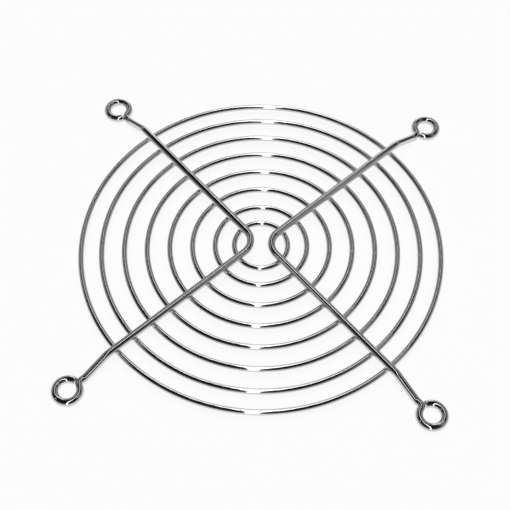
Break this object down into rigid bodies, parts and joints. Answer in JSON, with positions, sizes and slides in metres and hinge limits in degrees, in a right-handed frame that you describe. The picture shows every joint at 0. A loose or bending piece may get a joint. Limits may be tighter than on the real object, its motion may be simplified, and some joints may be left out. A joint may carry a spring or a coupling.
{
  "type": "wire fan guard",
  "caption": "Round wire finger guard for an axial fan: concentric plated steel rings welded under bent spoke wires that step down to screw eyelets at the corners.",
  "frame": {"origin": "middle of the screw pattern, on the fan face that the eyelets seat on", "axes": "+Z points out of the fan, away from the face the guard is screwed to; +X and +Y run along the sides of the screw square, and each spoke wire is the mirror image of the other across the YZ plane"},
  "size_m": [0.1146, 0.1146, 0.006],
  "materials": {
    "bright_plated_wire": "bright nickel and chrome plate on drawn steel wire"
  },
  "bodies": {
    "root": {"ring_1": "bright_plated_wire", "ring_2": "bright_plated_wire", "ring_3": "bright_plated_wire", "ring_4": "bright_plated_wire", "ring_5": "bright_plated_wire", "ring_6": "bright_plated_wire", "ring_7": "bright_plated_wire", "ring_8": "bright_plated_wire", "left_spoke_wire": "bright_plated_wire", "right_spoke_wire": "bright_plated_wire"}
  },
  "joints": []
}
